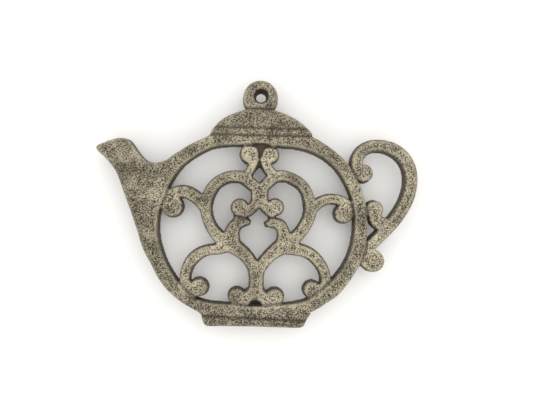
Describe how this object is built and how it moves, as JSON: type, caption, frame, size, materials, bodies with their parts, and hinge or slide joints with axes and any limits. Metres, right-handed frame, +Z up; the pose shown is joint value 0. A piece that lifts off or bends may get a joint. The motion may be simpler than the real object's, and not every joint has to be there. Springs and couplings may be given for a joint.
{
  "type": "cast iron trivet",
  "caption": "Flat openwork cast iron trivet in the outline of a teapot, with scrollwork, a hanging loop and rubber feet.",
  "frame": {"origin": "centre of the bounding box in plan, on the table under the rubber feet", "axes": "+X from the spout towards the handle, +Y from the base band towards the hanging loop, +Z up from the table to the face that carries the pot"},
  "size_m": [0.2051, 0.1571, 0.018],
  "materials": {
    "cast_iron": "rough, antique bronze speckle over black",
    "rubber": "matt black"
  },
  "bodies": {
    "root": {"rim": "cast_iron", "lid": "cast_iron", "hanging_loop": "cast_iron", "base_band": "cast_iron", "spout": "cast_iron", "handle": "cast_iron", "handle_curl": "cast_iron", "handle_tail": "cast_iron", "centre_knot": "cast_iron", "stem": "cast_iron", "top_pocket_web": "cast_iron", "arch_left": "cast_iron", "arch_right": "cast_iron", "top_curl_left": "cast_iron", "top_curl_right": "cast_iron", "side_curl_left": "cast_iron", "side_curl_right": "cast_iron", "inner_curl_left": "cast_iron", "inner_curl_right": "cast_iron", "shoulder_left": "cast_iron", "shoulder_right": "cast_iron", "lower_curl_left": "cast_iron", "lower_curl_right": "cast_iron", "bottom_curl_left": "cast_iron", "bottom_curl_right": "cast_iron", "foot_pegs": "cast_iron", "rubber_foot_top": "rubber", "rubber_foot_bottom": "rubber", "rubber_foot_spout": "rubber", "rubber_foot_handle": "rubber"}
  },
  "joints": []
}
